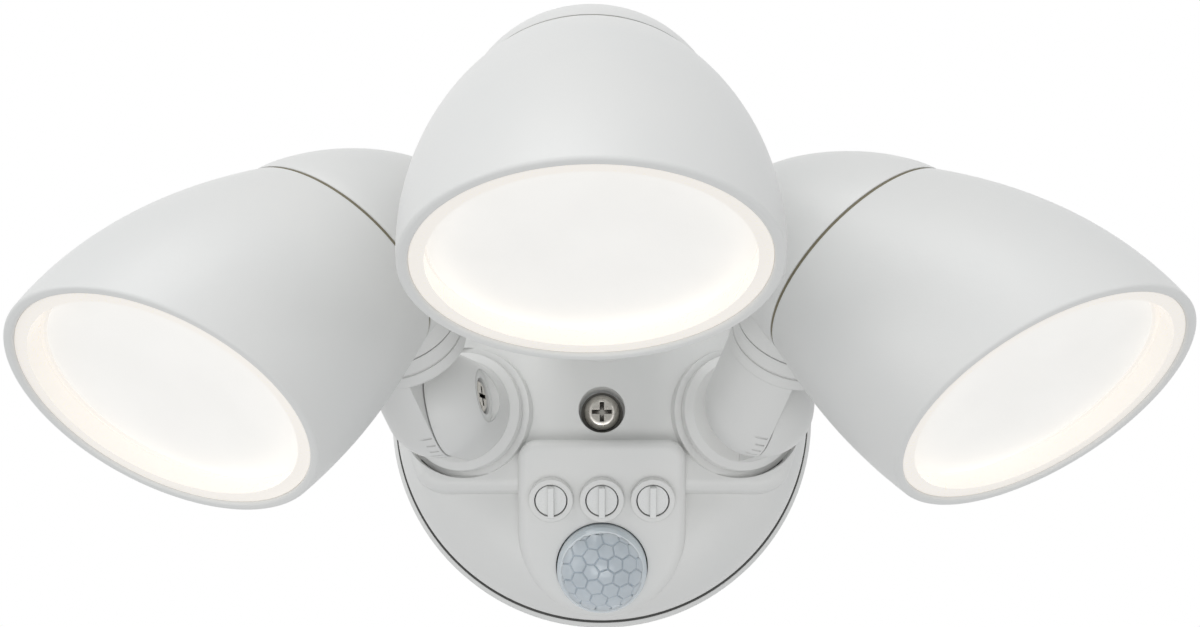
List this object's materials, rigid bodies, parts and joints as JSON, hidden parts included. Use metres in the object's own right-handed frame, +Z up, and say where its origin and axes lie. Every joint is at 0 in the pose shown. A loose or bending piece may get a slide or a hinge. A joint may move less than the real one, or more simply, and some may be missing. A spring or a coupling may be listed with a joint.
{
  "type": "motion sensor security light",
  "caption": "Round wall base with swivelling hooded lamp heads on jointed arms, a domed infrared lens and small adjusters on a sloped sensor pod.",
  "frame": {"origin": "centre of the base plate's back face, on the wall", "axes": "+Y into the wall, -Y out of the wall towards the viewer, +Z up, +X to the viewer's right"},
  "size_m": [0.263, 0.2026, 0.1285],
  "materials": {
    "shell": "satin",
    "stainless": "brushed",
    "zinc": "plated",
    "spring_steel": "plain",
    "gasket": "matte",
    "bezel": "gloss",
    "diffuser": "frosted",
    "led_board": "gloss",
    "heat_sink": "cast",
    "rubber": "matte",
    "washer": "matte",
    "circuit": "solder mask",
    "terminal": "plain",
    "pir_lens": "translucent",
    "sensor_can": "plain",
    "trimmers": "plain",
    "knob": "satin"
  },
  "bodies": {
    "base": {"back_plate": "shell", "cover_seal": "rubber", "front_cover": "shell", "cover_screw": "stainless", "cover_screw_washer": "washer", "cable_grommet": "rubber", "driver_board": "circuit", "terminal_block": "terminal", "pir_lens": "pir_lens", "sensor_board": "circuit", "pir_sensor": "sensor_can", "potentiometers": "trimmers"},
    "left_swivel": {"left_swivel_base": "shell", "left_swivel_clip": "spring_steel", "left_clamp_screw": "stainless"},
    "left_arm": {"left_lamp_arm": "shell", "left_clamp_nut": "zinc", "left_neck_clip": "spring_steel"},
    "left_head": {"left_rear_cap": "shell", "left_seam_gasket": "gasket", "left_front_housing": "shell", "left_bezel": "bezel", "left_lens": "diffuser", "left_led_board": "led_board", "left_heat_sink": "heat_sink"},
    "centre_swivel": {"centre_swivel_base": "shell", "centre_swivel_clip": "spring_steel", "centre_clamp_screw": "stainless"},
    "centre_arm": {"centre_lamp_arm": "shell", "centre_clamp_nut": "zinc", "centre_neck_clip": "spring_steel"},
    "centre_head": {"centre_rear_cap": "shell", "centre_seam_gasket": "gasket", "centre_front_housing": "shell", "centre_bezel": "bezel", "centre_lens": "diffuser", "centre_led_board": "led_board", "centre_heat_sink": "heat_sink"},
    "right_swivel": {"right_swivel_base": "shell", "right_swivel_clip": "spring_steel", "right_clamp_screw": "stainless"},
    "right_arm": {"right_lamp_arm": "shell", "right_clamp_nut": "zinc", "right_neck_clip": "spring_steel"},
    "right_head": {"right_rear_cap": "shell", "right_seam_gasket": "gasket", "right_front_housing": "shell", "right_bezel": "bezel", "right_lens": "diffuser", "right_led_board": "led_board", "right_heat_sink": "heat_sink"},
    "sens_adjuster": {"sens_knob": "knob"},
    "time_adjuster": {"time_knob": "knob"},
    "lux_adjuster": {"lux_knob": "knob"}
  },
  "joints": [
    {"name": "left_swing", "type": "hinge", "parent": "base", "child": "left_swivel", "pos_m": [-0.0356, -0.032, -0.0032], "axis": [-0.2418, -0.9698, -0.0332], "range_deg": [-12, 30]},
    {"name": "left_tilt", "type": "hinge", "parent": "left_swivel", "child": "left_arm", "pos_m": [-0.04046, -0.05149, -0.00387], "axis": [0.9587, -0.244, 0.146], "range_deg": [-30, 30]},
    {"name": "left_turn", "type": "hinge", "parent": "left_arm", "child": "left_head", "pos_m": [-0.0487, -0.07037, 0.01186], "axis": [0.2813, 0.7384, -0.6129], "range_deg": [-12, 30]},
    {"name": "centre_swing", "type": "hinge", "parent": "base", "child": "centre_swivel", "pos_m": [0, -0.0622, 0.0215], "axis": [0, -1, 0], "range_deg": [-10, 10]},
    {"name": "centre_tilt", "type": "hinge", "parent": "centre_swivel", "child": "centre_arm", "pos_m": [0, -0.0823, 0.0215], "axis": [0.9988, 0, 0.0489], "range_deg": [-20, 25]},
    {"name": "centre_turn", "type": "hinge", "parent": "centre_arm", "child": "centre_head", "pos_m": [-0.00171, -0.10365, 0.0361], "axis": [-0.0277, -0.8241, 0.5657], "range_deg": [-10, 10]},
    {"name": "right_swing", "type": "hinge", "parent": "base", "child": "right_swivel", "pos_m": [0.0356, -0.032, -0.0032], "axis": [-0.2418, 0.9698, 0.0332], "range_deg": [-12, 30]},
    {"name": "right_tilt", "type": "hinge", "parent": "right_swivel", "child": "right_arm", "pos_m": [0.04046, -0.05149, -0.00387], "axis": [0.9634, 0.244, -0.1114], "range_deg": [-30, 30]},
    {"name": "right_turn", "type": "hinge", "parent": "right_arm", "child": "right_head", "pos_m": [0.04627, -0.0715, 0.01155], "axis": [0.2616, -0.7631, 0.591], "range_deg": [-12, 30]},
    {"name": "sens_adjust", "type": "hinge", "parent": "base", "child": "sens_adjuster", "pos_m": [-0.0132, -0.03397, -0.0259], "axis": [0, -0.9272, -0.3746], "range_deg": [-135, 135]},
    {"name": "time_adjust", "type": "hinge", "parent": "base", "child": "time_adjuster", "pos_m": [0, -0.03397, -0.0259], "axis": [0, -0.9272, -0.3746], "range_deg": [-135, 135]},
    {"name": "lux_adjust", "type": "hinge", "parent": "base", "child": "lux_adjuster", "pos_m": [0.0132, -0.03397, -0.0259], "axis": [0, -0.9272, -0.3746], "range_deg": [-135, 135]}
  ]
}
